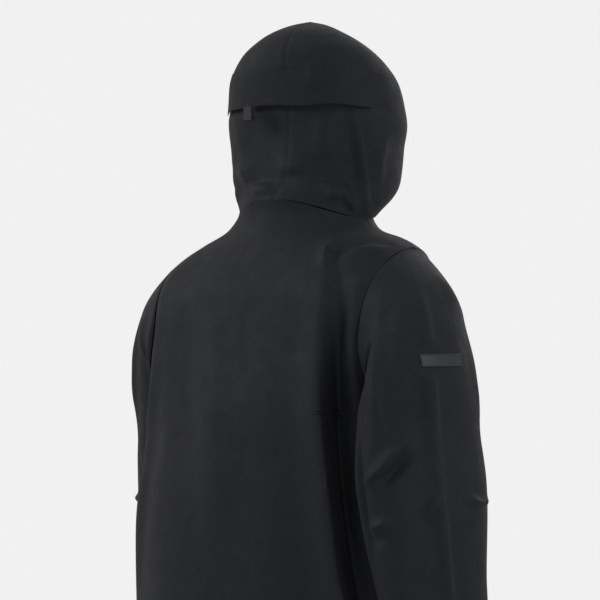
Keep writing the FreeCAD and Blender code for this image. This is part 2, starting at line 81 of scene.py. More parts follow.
# sleeve rings: half across, half front to back, centre out, tilt from upright, height
SLEEVE = {
    "armhole": (91, 93, 206.5, 0, -194), "shoulder": (90, 92, 228, 16, -203),
    "cap": (70, 87, 247, 44, -230), "biceps": (52, 97, 263, 90, -304),
    "elbow": (57, 105, 271, 90, -390), "forearm": (54, 88, 286, 90, -540),
    "cuff": (50, 68, 300, 90, -690)}
SLEEVE_KNOTS = np.array((0, 0.06, 0.13, 0.25, 0.42, 0.71, 1.0))
SLEEVE_Y = {"right": (38, 46, 68, 86, 90, 88, 70), "left": (32, 20, 2, -12, -28, -46, -72)}
RIGHT_RISE, RIGHT_FORWARD = 15.0, 7.0
PATCH_Y, PATCH_Z, PATCH_HALF, PATCH_HALF_TALL = 88.0, -224.0, 36, 8.5
POCKET_ANGLE, POCKET_LONG = math.radians(51), 165.0
CAMERA_YAW, CAMERA_AWAY, CAMERA_SHIFT, CAMERA_RISE = math.radians(37), 3.6, -0.008, -0.14


# ------------------------------------------------------------------ settings
class JacketSizes(bpy.types.PropertyGroup):
    cloth: bpy.props.FloatProperty(
        name="Cloth thickness", description="Thickness of the shell with its backing",
        default=0.0011, unit="LENGTH")
    fold: bpy.props.FloatProperty(
        name="Fold height", description="Scales every fold of the cloth", default=1.6)
    tooth: bpy.props.FloatProperty(
        name="Tooth pitch", description="Distance between teeth of the fasteners",
        default=0.0021, unit="LENGTH")


class JacketColours(bpy.types.PropertyGroup):
    shell: bpy.props.StringProperty(
        name="Shell", description="Colour of the outer cloth, as hex", default="1B1E25")
    lining: bpy.props.StringProperty(
        name="Lining", description="Colour of the backing, as hex", default="3A3B3F")
    metal: bpy.props.StringProperty(
        name="Metal", description="Colour of the painted sliders, as hex", default="2B2C2E")


# -------------------------------------------------------------- curve helpers
def hermite(knots, values, where):
    """Cubic through the values at the knots, with slopes taken from the neighbours."""
    knots, values = np.asarray(knots, float), np.asarray(values, float)
    slope = np.gradient(values, knots, axis=0)
    where = np.clip(np.asarray(where, float), knots[0], knots[-1])
    i = np.clip(np.searchsorted(knots, where, side="right") - 1, 0, len(knots) - 2)
    span = knots[i + 1] - knots[i]
    t = (where - knots[i]) / span
    if values.ndim > 1:
        span, t = span[..., None], t[..., None]
    t2, t3 = t * t, t * t * t
    return ((2 * t3 - 3 * t2 + 1) * values[i] + (t3 - 2 * t2 + t) * span * slope[i]
            + (3 * t2 - 2 * t3) * values[i + 1] + (t3 - t2) * span * slope[i + 1])


def chord_curve(keys, where):
    """The same cubic through rows of keys, with distance along them as the parameter."""
    gaps = np.linalg.norm(np.diff(keys, axis=0), axis=1)
    knots = np.concatenate([[0.0], np.cumsum(gaps)]) / gaps.sum()
    return hermite(knots, keys, where)


def ease(value, low, high):
    """0 below low, 1 above high, and a smooth step between."""
    t = np.clip((value - low) / (high - low), 0, 1)
    return t * t * (3 - 2 * t)


def stack(*columns):
    return np.stack(np.broadcast_arrays(*columns), axis=-1)


LATTICE = np.random.default_rng(11).uniform(-1, 1, (24, 24, 24))


def crumple(points, size):
    """Smooth random height, -1 to 1, on a grid of the given cell size, by trilinear mixing."""
    cell = points / np.asarray(size, float) + 500.5
    low = np.floor(cell).astype(int)
    t = cell - low
    t = t * t * (3 - 2 * t)
    total = np.zeros(points.shape[:-1])
    for corner in np.ndindex(2, 2, 2):
        index = (low + corner) % 24
        share = np.prod(np.where(np.array(corner) == 1, t, 1 - t), axis=-1)
        total += share * LATTICE[index[..., 0], index[..., 1], index[..., 2]]
    return total


# ---------------------------------------------------------------------- folds
# Each fold is drawn on an upright plane that is turned from the back by so many degrees
# (positive towards the wearer's right): points across and up, height, then its width on
# the near and far side of the line. A narrow side makes the fold hang over on that side.
BACK_RIGHT, FRONT, FRONT_LEFT, BACK_LEFT, RIGHT, LEFT = 37, 180, 225, -40, 90, -90
FOLDS = {
    BACK_RIGHT: [
        (((37, -50), (31, -88), (25, -140), (19, -230), (22, -335), (34, -440),
          (44, -530), (60, -600), (78, -735), (96, -860)), 14, 26, 8),
        (((52, -40), (46, -130), (42, -220), (50, -330), (60, -440), (78, -560),
          (100, -700)), -17, 11, 18),
        (((30, -92), (58, -80), (95, -70), (130, -72)), 5, 14, 6),
        (((40, -52), (33, -75), (28, -100)), 6, 12, 5),
        (((-178, -140), (-182, -240), (-176, -340), (-170, -430)), -6, 24, 24),
        (((-130, -130), (-136, -260), (-128, -380), (-122, -560)), 4, 22, 16),
        (((-60, -300), (-56, -420), (-40, -560), (-38, -720)), 4, 34, 30),
        # sleeve on the wearer's right
        (((112, -110), (104, -155), (97, -220), (95, -290), (100, -345)), 6, 12, 9),
        (((150, -100), (164, -150), (172, -220), (176, -300), (179, -410)), 6, 12, 8),
        (((184, -92), (200, -112), (222, -156)), 4, 7, 5),
        (((150, -322), (120, -352), (96, -380), (70, -398)), 8, 9, 6),
        (((150, -345), (122, -374), (98, -398)), -5, 9, 9),
        (((182, -404), (174, -424), (160, -446)), 5, 8, 6),
        (((118, -436), (100, -450), (80, -456)), 5, 7, 6),
        (((112, -462), (96, -470), (78, -474)), -4, 7, 7),
        (((182, -300), (185, -380), (192, -480), (202, -590), (205, -660)), 5, 10, 6),
        (((120, -480), (132, -560), (150, -650)), 4, 18, 14),
        # hood
        (((68, 146), (77, 108), (84, 50), (89, 10), (93, -22)), 7, 8, 5),
        (((52, 40), (60, 14), (74, -16)), 5, 7, 5),
        (((14, 212), (10, 190), (15, 166)), 4, 7, 5),
        (((36, 150), (28, 90), (34, 40)), 4, 12, 10),
        (((20, 34), (38, 22), (54, 22)), 4, 6, 5),
        (((26, 6), (42, 14), (56, 8)), 4, 5, 5),
        (((-84, 16), (-64, 24), (-46, 14)), 4, 6, 5),
        (((-96, 70), (-84, 40), (-70, 26)), 4, 8, 7),
        (((-40, 68), (-20, 56), (0, 62)), 3, 8, 7),
        (((120, 120), (108, 60), (104, 10)), 4, 10, 7)],
    FRONT: [
        # front and the wearer's left
        (((-110, -130), (-96, -300), (-104, -480), (-112, -640)), 5, 26, 20),
        (((88, -140), (80, -280), (96, -430), (92, -600)), 5, 22, 26),
        (((-170, -120), (-120, -170), (-80, -200)), 4, 10, 8),
        (((165, -118), (125, -165), (85, -185)), 4, 8, 10)],
    FRONT_LEFT: [
        (((-150, -170), (-140, -300), (-152, -400)), 5, 12, 9),
        (((-190, -390), (-160, -410), (-120, -404)), 6, 8, 6),
        (((-180, -430), (-150, -446), (-120, -440)), 5, 8, 6),
        (((-120, -500), (-130, -580), (-138, -650)), 4, 14, 10)],
    BACK_LEFT: [
        (((-60, -70), (-64, -160), (-58, -300), (-70, -480), (-80, -700)), 9, 10, 22),
        (((-110, -150), (-116, -240), (-108, -330)), 6, 9, 11),
        (((-170, -140), (-180, -240), (-184, -360)), 5, 9, 11),
        (((-160, -380), (-130, -400), (-100, -396)), 6, 7, 8),
        (((-150, -440), (-180, -560), (-190, -650)), 4, 10, 12)],
    LEFT: [
        (((60, 160), (66, 90), (60, 20)), 5, 8, 7),
        (((20, 60), (34, 30), (40, -4)), 4, 6, 6),
        (((-30, -440), (0, -452), (40, -446)), 5, 7, 7),
        (((-10, -180), (0, -260), (-4, -340)), 5, 12, 12)],
    RIGHT: [
        (((10, -170), (0, -260), (10, -340)), 4, 12, 10),
        (((-80, -410), (-50, -424), (-10, -420)), 5, 7, 7),
        (((-60, 120), (-66, 60), (-56, 10)), 4, 8, 7)],
}


def fold_height(points, normals):
    """Sum of the drawn folds, each seen on its own plane."""
    total = np.zeros(points.shape[:-1])
    for plane, folds in FOLDS.items():
        yaw = math.radians(plane)
        away = np.array((-math.sin(yaw), math.cos(yaw), 0))
        right = np.array((-math.cos(yaw), -math.sin(yaw), 0))
        spot = stack(points @ right, points[..., 2])
        facing = ease(normals @ away, 0.12, 0.45)
        for fold in folds:
            add_fold(total, spot, facing, *fold)
    return total


def add_fold(total, spot, facing, line, height, near, far):
    """Adds a bell across the line, faded at its ends and where the cloth turns away."""
    path = chord_curve(np.array(line, float), np.linspace(0, 1, 6 * len(line)))
    reach = 3 * max(near, far)
    low, high = path.min(0) - reach, path.max(0) + reach
    inside = np.all((spot > low) & (spot < high), axis=-1) & (facing > 0)
    if not inside.any():
        return
    here = spot[inside]
    best = np.full(len(here), 1e9)
    side, run = np.zeros(len(here)), np.zeros(len(here))
    count = len(path) - 1
    for k in range(count):
        step = path[k + 1] - path[k]
        rel = here - path[k]
        t = np.clip(rel @ step / (step @ step), 0, 1)
        gap = rel - t[:, None] * step
        distance = np.hypot(gap[:, 0], gap[:, 1])
        closer = distance < best
        best = np.where(closer, distance, best)
        side = np.where(closer, step[0] * rel[:, 1] - step[1] * rel[:, 0], side)
        run = np.where(closer, (k + t) / count, run)
    spread = 1.5 if abs(height) < 5 else 1.0
    width = np.where(side > 0, far, near) * spread
    fade = ease(run, -0.04, 0.42) * ease(1 - run, -0.04, 0.42)
    total[inside] += height * np.exp(-(best / width) ** 2) * fade * facing[inside]


def drape(points, normals, mask, fold, soft=1.0):
    """Moves cloth along its normals by the folds and by two sizes of random crumple."""
    height = fold_height(points, normals) * fold
    height += soft * (1.5 * crumple(points, (70, 70, 190)) + 0.45 * crumple(points, (34, 34, 46)))
    return points + normals * (height * mask)[..., None]


# --------------------------------------------------------------- cloth meshes
def grid_normals(points, closed, inside):
    """Unit cross product of the two grid directions, pointing away from the axis given."""
    rows = np.gradient(points, axis=0)
    if closed:
        columns = np.roll(points, -1, axis=1) - np.roll(points, 1, axis=1)
    else:
        columns = np.gradient(points, axis=1)
    normal = np.cross(columns, rows)
    normal /= np.maximum(np.linalg.norm(normal, axis=-1, keepdims=True), 1e-9)
    if np.sum(normal * (points - inside)) < 0:
        normal = -normal
    return normal


def make_mesh(name, vertices, faces, material_index=None, uv=None, sharp=50):
    mesh = bpy.data.meshes.new(name)
    rows = faces.tolist() if isinstance(faces, np.ndarray) else faces
    mesh.from_pydata((vertices * MM).tolist(), [], rows)
    mesh.polygons.foreach_set("use_smooth", np.ones(len(faces), bool))
    if material_index is not None:
        mesh.polygons.foreach_set("material_index", material_index.astype(np.int32))
    if uv is not None:
        loops = np.empty(len(mesh.loops), np.int32)
        mesh.loops.foreach_get("vertex_index", loops)
        layer = mesh.uv_layers.new(name="cloth")
        layer.data.foreach_set("uv", (uv[loops] * MM).astype(np.float32).ravel())
    mesh.set_sharp_from_angle(angle=math.radians(sharp))
    mesh.validate()
    obj = bpy.data.objects.new(name, mesh)
    bpy.context.collection.objects.link(obj)
    return obj


def cloth_piece(name, points, normals, thick, closed=False):
    return make_mesh(name, *shell(points, normals, thick, closed))


def shell(points, normals, thick, closed=False):
    """A closed two-sided sheet: the grid, the same grid set in by the thickness, and rims."""
    rows, columns = points.shape[:2]
    count = rows * columns
    inner = points - normals * thick
    vertices = np.concatenate([points.reshape(-1, 3), inner.reshape(-1, 3)])
    index = np.arange(count).reshape(rows, columns)
    if closed:
        index = np.concatenate([index, index[:, :1]], axis=1)
    quad = stack(index[:-1, :-1], index[:-1, 1:], index[1:, 1:], index[1:, :-1]).reshape(-1, 4)
    middle = (rows // 2, columns // 2)
    a, b = points[middle[0], middle[1]], points[middle[0], middle[1] - 1]
    span = np.cross(a - b, points[middle[0] + 1, middle[1]] - a)
    if span @ normals[middle] < 0:
        quad = quad[:, ::-1]
    rims = [np.stack([index[0, :-1], index[0, 1:]], 1), np.stack([index[-1, 1:], index[-1, :-1]], 1)]
    if not closed:
        rims += [np.stack([index[1:, 0], index[:-1, 0]], 1),
                 np.stack([index[:-1, -1], index[1:, -1]], 1)]
    rim = np.concatenate(rims)
    rim = np.stack([rim[:, 1], rim[:, 0], rim[:, 0] + count, rim[:, 1] + count], 1)
    if span @ normals[middle] < 0:
        rim = rim[:, ::-1]
    faces = np.concatenate([quad, quad[:, ::-1] + count, rim])
    kind = np.concatenate([np.zeros(len(quad)), np.ones(len(quad)), np.zeros(len(rim))])
    across = np.cumsum(np.linalg.norm(np.diff(points, axis=1, prepend=points[:, :1]), axis=-1), 1)
    along = np.cumsum(np.linalg.norm(np.diff(points, axis=0, prepend=points[:1]), axis=-1), 0)
    uv = np.tile(stack(across, along).reshape(-1, 2), (2, 1))
    return vertices, faces, kind, uv


# ------------------------------------------------------------------ the torso
def torso_point(turn, z):
    """An oval section; turn is 0 at the wearer's left and rises over the back."""
    size = hermite(TORSO[:, 0], TORSO[:, 1:], z)
    wide, deep = size[..., 0], size[..., 1]
    centre = FRONT_Y + (z - HEM_Z) * LEAN + deep
    fuller = size[..., 2] * ease(np.sin(turn), -0.3, 0.4)
    wide, deep = wide + fuller, deep + 0.5 * fuller
    boxy = boxiness(turn, z) * (np.sin(turn) > 0)
    return posture(stack(wide * (1 + boxy) * np.cos(turn),
                         centre + deep * (1 + boxy) * np.sin(turn), z))


def posture(points):
    """The right shoulder is held a little higher and further forward than the left."""
    share = ease(-points[..., 0], 90, 215) * ease(points[..., 2], -340, -130)
    return stack(points[..., 0], points[..., 1] - RIGHT_FORWARD * share,
                 points[..., 2] + RIGHT_RISE * share)


def boxiness(turn, z):
    """How far a section is squared off at its corners."""
    return 0.045 * ease(-z, 40, 150) * np.sin(2 * turn) ** 2


def armhole_x(z):
    """Half width at the armhole seam, which is scooped between its ends."""
    share = np.clip((z - UNDERARM_Z) / (SHOULDER_Z - UNDERARM_Z), 0, 1)
    return ARMHOLE_X - ARMHOLE_SCOOP * np.sin(np.pi * share)


def armhole_turn(z, back):
    """Turn at which the section meets the armhole seam, 0 where there's no armhole."""
    seam_x = armhole_x(z)
    wide = hermite(TORSO[:, 0], TORSO[:, 1:], z)[..., 0]
    turn = np.zeros_like(z)
    for _ in range(8):
        boxy = boxiness(turn, z) * back
        turn = np.arccos(np.clip(seam_x / (wide * (1 + boxy)), 0, 1))
    window = (z > UNDERARM_Z) & (z < SHOULDER_Z)
    return np.where(window, turn, 0.0)


def neck_line(turn):
    return -20 + 28 * np.sin(turn) ** 2


def torso_panel(name, start_turn, end_turn, rows, columns, back, settings):
    level = np.linspace(HEM_Z, -20, rows)[:, None]
    share = np.linspace(0, 1, columns)[None, :]
    turn = start_turn(level) + (end_turn(level) - start_turn(level)) * share
    z = level + ease(level, -120, -20) * (neck_line(turn) + 20)
    points = torso_point(turn, z)
    normals = grid_normals(points, False, TRUNK_MIDDLE)
    mask = ease(seam_gap(points), 0, 26) * ease(neck_line(turn) - z, 0, 20) * ease(z - HEM_Z, 0, 30)
    mask = mask * (0.35 + 0.65 * ease(z - HEM_Z, 20, 90))
    if not back:
        side = np.abs(points[..., 0])
        mask *= ease(side, 12, 46)
        pocket = ease(np.abs(side - 141), 16, 40)
        mask *= np.maximum(pocket, ease(z, -500, -470))
    points = drape(points, normals, mask, settings.fold)
    normals = grid_normals(points, False, TRUNK_MIDDLE)
    dip = seam_dip(points, share, back)
    points = points - normals * dip[..., None]
    return cloth_piece(name, points, normals, settings.cloth / MM)


def seam_gap(points):
    """Distance to the armhole seam, measured on the flat side view and across."""
    seam_x = armhole_x(points[..., 2])
    above = np.maximum(points[..., 2] - SHOULDER_Z, 0)
    below = np.maximum(UNDERARM_Z - points[..., 2], 0)
    return np.hypot(np.maximum(seam_x - np.abs(points[..., 0]), 0), above + below)


def seam_dip(points, share, back):
    """A shallow groove along the panel's own edges, where the seam pulls the cloth in."""
    gap = seam_gap(points)
    dip = 1.1 * np.exp(-(gap / 2.6) ** 2)
    if back:
        width = np.minimum(share, 1 - share) * 560
    else:
        width = share * 280
        for name in SIDES:
            local = into(pocket_frame(name), points)
            run = ease(local[..., 2], -4, 1) * ease(172 - local[..., 2], 0, 5)
            near = (np.abs(local[..., 1]) < 40) * run
            dip = dip + near * (3.8 * ease(8.5 - np.abs(local[..., 0]), 0, 3) + 0.5)
    return dip + 0.7 * np.exp(-(width / 2.6) ** 2)


# ------------------------------------------------- frames, strips, coils, thread
def line_frame(start, end, outward):
    """Origin, then X across, Y into the cloth and Z along the line."""
    start, end, outward = (np.array(v, float) for v in (start, end, outward))
    up = (end - start) / np.linalg.norm(end - start)
    back = -outward + up * (outward @ up)
    back /= np.linalg.norm(back)
    return start, np.array((np.cross(back, up), back, up))


def out_of(frame, local):
    return frame[0] + np.asarray(local, float) @ frame[1]


def into(frame, points):
    return (points - frame[0]) @ frame[1].T


def pocket_frame(name):
    """The slanted pocket line on the plain front, from low at the side to high."""
    turn = -POCKET_ANGLE if name == "left" else POCKET_ANGLE - np.pi
    low, high = (torso_point(np.array(turn), np.array(z)) for z in (-686.0, -470.0))
    wide, deep = 233.2, 150.2
    return line_frame(low, high, (math.cos(turn) / wide, math.sin(turn) / deep, 0))


def front_frame():
    start = np.array((0, FRONT_Y + 12 * LEAN, HEM_Z + 12))
    return line_frame(start, start + np.array((0, LEAN, 1)), (0, -1, 0))


def strip(frame, across, out, along, thick, rows=90, columns=7):
    """A flat band on a frame: X range, Y of its outer face, Z range; its edges droop a little."""
    x = np.linspace(*across, columns)[None, :]
    z = np.linspace(*along, rows)[:, None]
    edge = np.abs(np.linspace(-1, 1, columns))[None, :] ** 4
    points = out_of(frame, stack(x + 0 * z, out + 0.35 * edge + 0 * z, z + 0 * x))
    normals = np.broadcast_to(-frame[1][1], points.shape)
    return shell(points, normals, thick)


def tube(path, radius, sides=6, closed=False):
    """A round cord mesh along a path, with flat ends."""
    tangent = np.gradient(path, axis=0)
    tangent /= np.linalg.norm(tangent, axis=1, keepdims=True)
    start = np.cross(tangent[0], (0.31, 0.77, 0.56))
    normal = np.empty_like(path)
    for k, along in enumerate(tangent):
        start = start - along * (start @ along)
        start /= np.linalg.norm(start)
        normal[k] = start
    other = np.cross(tangent, normal)
    turn = np.linspace(0, 2 * np.pi, sides, endpoint=False)
    ring = (path[:, None] + radius * (normal[:, None] * np.cos(turn)[None, :, None]
                                      + other[:, None] * np.sin(turn)[None, :, None]))
    vertices = np.concatenate([ring.reshape(-1, 3), path[[0, -1]]])
    index = np.arange(len(path) * sides).reshape(-1, sides)
    index = np.concatenate([index, index[:, :1]], axis=1)
    faces = stack(index[:-1, :-1], index[:-1, 1:], index[1:, 1:], index[1:, :-1]).reshape(-1, 4)
    count = len(path) * sides
    low = [(count, index[0, k + 1], index[0, k]) for k in range(sides)]
    high = [(count + 1, index[-1, k], index[-1, k + 1]) for k in range(sides)]
    faces = faces.tolist() + low + high
    return vertices, faces, np.zeros(len(faces)), vertices[:, :2]


def coil(frame, x, long, pitch):
    """One row of a coil fastener: a flattened helix of nylon thread."""
    t = np.arange(0, long, pitch / 8)
    turn = 2 * np.pi * t / pitch
    side = 1 if x > 0 else -1
    local = stack(x + side * 1.1 * np.cos(turn), 0.8 + 0.75 * np.sin(turn), t)
    return tube(out_of(frame, local), 0.42, 5)


def stitches(path, normals, pitch=3.4, long=2.3):
    """Sewing thread: a spindle on the surface for each stitch along a path."""
    step = np.linalg.norm(np.diff(path, axis=0), axis=1)
    run = np.concatenate([[0.0], np.cumsum(step)])
    spots = np.arange(pitch, run[-1] - pitch, pitch)

    def sample(values, where):
        return np.stack([np.interp(where, run, values[:, k]) for k in range(3)], axis=1)
    middle, up = sample(path, spots), sample(normals, spots)
    along = sample(path, spots + 0.5) - sample(path, spots - 0.5)
    along /= np.linalg.norm(along, axis=1, keepdims=True)
    up /= np.linalg.norm(up, axis=1, keepdims=True)
    across = np.cross(along, up)
    corners = [middle - along * long / 2 - up * 0.1, middle + along * long / 2 - up * 0.1]
    for a, b in ((0.24, 0), (0, 0.26), (-0.24, 0), (0, -0.26)):
        corners.append(middle + across * a + up * (b + 0.1))
    vertices = np.stack(corners, axis=1).reshape(-1, 3)
    faces = []
    for k in range(4):
        a, b = 2 + k, 2 + (k + 1) % 4
        faces += [(0, b, a), (1, a, b)]
    faces = (np.arange(len(spots))[:, None, None] * 6 + np.array(faces)[None]).reshape(-1, 3)
    return vertices, faces.tolist(), np.zeros(len(faces)), vertices[:, :2]


def combine(name, parts, sharp=50):
    """One mesh from several sets of vertices, faces, material numbers and UVs."""
    vertices, faces, kinds, uvs, count = [], [], [], [], 0
    for v, f, kind, uv in parts:
        rows = f.tolist() if isinstance(f, np.ndarray) else f
        faces += [tuple(int(i) + count for i in row) for row in rows]
        vertices.append(v)
        kinds.append(kind)
        uvs.append(uv)
        count += len(v)
    return make_mesh(name, np.concatenate(vertices), faces, np.concatenate(kinds),
                     np.concatenate(uvs), sharp)


# ---------------------------------------------------- bands inside the torso
def torso_band(turns, low, high, depth, thick, rows=14, columns=40):
    """A patch of the torso's shape set in by depth: turn range and a level for each edge."""
    turn = np.linspace(*turns, columns)[None, :]
    share = np.linspace(0, 1, rows)[:, None]
    z = low(turn) + (high(turn) - low(turn)) * share
    points = torso_point(turn + 0 * z, z)
    normals = grid_normals(points, False, TRUNK_MIDDLE)
    return shell(points - normals * depth, normals, thick), points, normals


def at_level(z):
    return lambda turn: z + 0 * turn


# ----------------------------------------------------------------- the sleeves
def armhole_curve(side, angle):
    """The armhole seam: angle 90 degrees at the shoulder, 0 at the back, -90 underarm."""
    middle, half = (UNDERARM_Z + SHOULDER_Z) / 2, (SHOULDER_Z - UNDERARM_Z) / 2
    z = middle + half * np.sin(angle) * 0.9995
    back = np.cos(angle) > 0
    turn = np.where(back, armhole_turn(z, 1), -armhole_turn(z, 0))
    if side > 0:
        return torso_point(turn, z)
    return torso_point(np.pi - turn, z)


def sleeve_points(name, s, angle):
    """A swept oval; near the shoulder it is mixed into the armhole seam."""
    side = SIDES[name]
    keys = np.array([row[:2] + (row[2], y) + row[3:] for row, y in
                     zip(SLEEVE.values(), SLEEVE_Y[name])], float)
    ring = hermite(SLEEVE_KNOTS, keys, s)
    across, deep, out, y, tilt, z = np.moveaxis(ring, -1, 0)
    lean = np.radians(np.clip(tilt, 0, 90))
    turn = side * SLEEVE_TURN * lean / (np.pi / 2)
    flat = side * np.sin(lean) * across * np.sin(angle)
    swept = stack(side * out + flat * np.cos(turn) - deep * np.cos(angle) * np.sin(turn),
                  y + flat * np.sin(turn) + deep * np.cos(angle) * np.cos(turn),
                  z + np.cos(lean) * across * np.sin(angle))
    share = ease(s, 0, 0.1)[..., None]
    return armhole_curve(side, angle + 0 * s) * (1 - share) + posture(swept) * share


def sleeve_grid(name, rows, columns, settings):
    s = np.linspace(0, 1, rows)[:, None] ** 1.05
    angle = np.linspace(-np.pi / 2, 1.5 * np.pi, columns, endpoint=False)[None, :]
    points = sleeve_points(name, s, angle)
    centre = points.mean(1, keepdims=True)
    normals = grid_normals(points, True, centre)
    mask = ease(s, 0, 0.045) * ease(1 - s, 0.0, 0.09) * np.ones_like(angle)
    if name == "right":
        window = patch_gap(points)
        mask = mask * ease(window, 2, 22)
    points = drape(points, normals, mask, settings.fold, 1.2)
    normals = grid_normals(points, True, centre)
    dip = 1.0 * np.exp(-(s * SLEEVE_LONG / 2.6) ** 2)
    edge = np.abs(np.mod(angle + np.pi / 2 + np.pi, 2 * np.pi) - np.pi) * 70
    dip = dip + 0.7 * np.exp(-(edge / 2.6) ** 2)
    band = (1 - s) * SLEEVE_LONG
    dip = dip + 0.6 * np.exp(-((band - 26) / 1.6) ** 2)
    return points - normals * dip[..., None], normals, s


def patch_gap(points):
    """Distance outside the sleeve patch's rectangle, seen from the side."""
    beyond_y = np.maximum(np.abs(points[..., 1] - PATCH_Y) - PATCH_HALF, 0)
    beyond_z = np.maximum(np.abs(points[..., 2] - PATCH_Z) - PATCH_HALF_TALL - 0.5, 0)
    return np.where(points[..., 0] < -250, np.hypot(beyond_y, beyond_z), 99.0)


def build_sleeve(name, settings):
    points, normals, s = sleeve_grid(name, 250, 168, settings)
    height = points[..., 2].mean(1)
    cut = int(np.argmax(height < ELBOW_Z))
    thick = settings.cloth / MM
    upper = cloth_piece(f"{name}_sleeve_upper", points[:cut + 1], normals[:cut + 1], thick, True)
    lower = cloth_piece(f"{name}_sleeve_lower", points[cut:], normals[cut:], thick, True)
    finish_piece(upper, "shell", None, f"{name}_upper_sleeve")
    finish_piece(lower, "shell", None, f"{name}_lower_sleeve")
    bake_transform(upper)
    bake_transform(lower)


def sleeve_level(name, z):
    """How far along the sleeve a height is, below the biceps."""
    s = np.linspace(0.3, 1, 400)
    heights = sleeve_points(name, s[:, None], np.array([[0.0]]))[:, 0, 2]
    return np.interp(-z, -heights, s)


def sleeve_normals(name, s, points, closed=False):
    ring = sleeve_points(name, s, np.linspace(0, 2 * np.pi, 24, endpoint=False)[None, :])
    return grid_normals(points, closed, ring.mean(1, keepdims=True))


def sleeve_band(name, top, low, angles, lift, thick, closed=False, rows=10, columns=48):
    """A patch of the sleeve's plain shape between two heights, lifted off it."""
    s = np.linspace(sleeve_level(name, top), sleeve_level(name, low), rows)[:, None]
    angle = np.linspace(*angles, columns, endpoint=not closed)[None, :]
    points = sleeve_points(name, s, angle)
    normals = sleeve_normals(name, s, points, closed)
    return shell(points + normals * lift, normals, thick, closed), points, normals


TAB_ANGLES = (1.27, 2.39)


def build_cuff(name):
    """Facing inside the cuff, pile pad, the moulded tab over it, and the cuff's stitching."""
    whole = (-np.pi / 2, 1.5 * np.pi)
    facing, _, _ = sleeve_band(name, -661, -688, whole, -1.8, 0.8, True, columns=90)
    add_piece(f"{name}_cuff_lining", [facing], "lining", f"{name}_forearm",
              f"{name}_cuff_facing")
    pad, _, _ = sleeve_band(name, -642, -664, (1.35, 2.31), 1.5, 1.2)
    add_piece(f"{name}_cuff_pile", [pad], "hook_loop", f"{name}_forearm",
              f"{name}_cuff_loop_pad")
    rows, columns = 22, 60
    s = np.linspace(sleeve_level(name, -640), sleeve_level(name, -666), rows)[:, None]
    angle = np.linspace(*TAB_ANGLES, columns)[None, :]
    points = sleeve_points(name, s, angle)
    normals = sleeve_normals(name, s, points)
    across = np.linspace(-1, 1, rows)[:, None]
    along = np.linspace(0, 1, columns)[None, :]
    # the free end is rounded: its rows are drawn in towards the middle
    pinch = 1 - 0.45 * ease(along, 0.86, 1.0) ** 2
    middle = points[rows // 2][None]
    points = middle + (points - middle) * pinch[..., None]
    ribs = 0.35 * ease(along, 0.62, 0.66) * (np.sin((along - 0.62) * 110) > 0)
    border = 0.5 * ease(np.abs(across), 0.8, 0.9) + 0 * along
    points = points + normals * (3.0 + np.maximum(ribs * (np.abs(across) < 0.75), border)
                                 )[..., None]
    finish_piece(cloth_piece(f"{name}_cuff_tab_moulded", points, normals, 1.4), "tab",
                 f"{name}_cuff_tab", f"{name}_cuff_tab")
    _, ring, out = sleeve_band(name, -664, -665, whole, 0.2, 0.5, True, columns=160)
    thread = stitches(ring[0], out[0])
    add_piece(f"{name}_cuff_stitching", [thread], "thread", f"{name}_forearm")


def build_patch():
    """A blank moulded badge with a raised border, laid on the sleeve."""
    rows, columns = 26, 90
    y = PATCH_Y + np.linspace(-PATCH_HALF, PATCH_HALF, columns)[None, :] + np.zeros((rows, 1))
    tall = np.linspace(-PATCH_HALF_TALL, PATCH_HALF_TALL, rows)[:, None]
    z = PATCH_Z + tall + np.zeros((1, columns))
    s, angle = np.full_like(y, 0.14), np.full_like(y, 1.4)
    for _ in range(25):
        here = sleeve_points("right", s, angle)
        step_s = (sleeve_points("right", s + 1e-4, angle) - here)[..., 1:] / 1e-4
        step_a = (sleeve_points("right", s, angle + 1e-4) - here)[..., 1:] / 1e-4
        miss = stack(y, z) - here[..., 1:]
        area = step_s[..., 0] * step_a[..., 1] - step_s[..., 1] * step_a[..., 0]
        s = s + np.clip((miss[..., 0] * step_a[..., 1] - miss[..., 1] * step_a[..., 0]) / area,
                        -0.03, 0.03)
        angle = angle + np.clip((step_s[..., 0] * miss[..., 1] - step_s[..., 1] * miss[..., 0])
                                / area, -0.2, 0.2)
    points = sleeve_points("right", s, angle)
    normals = grid_normals(points, False, np.array((-250, PATCH_Y, PATCH_Z)))
    edge = np.minimum(PATCH_HALF - np.abs(y - PATCH_Y), PATCH_HALF_TALL - np.abs(z - PATCH_Z))
    lift = 1.3 + 0.5 * ease(edge, 0.0, 0.5) * ease(2.0 - edge, 0, 0.6)
    piece = cloth_piece("sleeve_badge", points + normals * lift[..., None], normals, 1.1)
    finish_piece(piece, "patch", "right_upper_arm", "sleeve_patch")


# -------------------------------------------------------------------- the hood
def look(points):
    """Turns the head and hood to the wearer's left above the neck seam."""
    turn = HEAD_TURN * ease(points[..., 2], -16, 70)
    x, y = points[..., 0], points[..., 1]
    return stack(x * np.cos(turn) - y * np.sin(turn), x * np.sin(turn) + y * np.cos(turn),
                 points[..., 2])


def hood_level(share):
    """Rows of hood sections, equally spaced along the outline from neck to crown."""
    return chord_curve(HOOD, share)


def face_turn(row):
    """Turn, from the front centre, at which a section meets the edge of the face opening."""
    z, wide = row[..., 0], row[..., 1]
    half = np.sqrt(np.maximum(FACE_ROUND ** 2 - (z - FACE_Z) ** 2, 0))
    return np.arcsin(np.clip(half / np.maximum(wide, 1), 0, 0.985))


def neck_seam(turn):
    return neck_line(np.arccos(np.clip(np.sin(turn), -1, 1)))


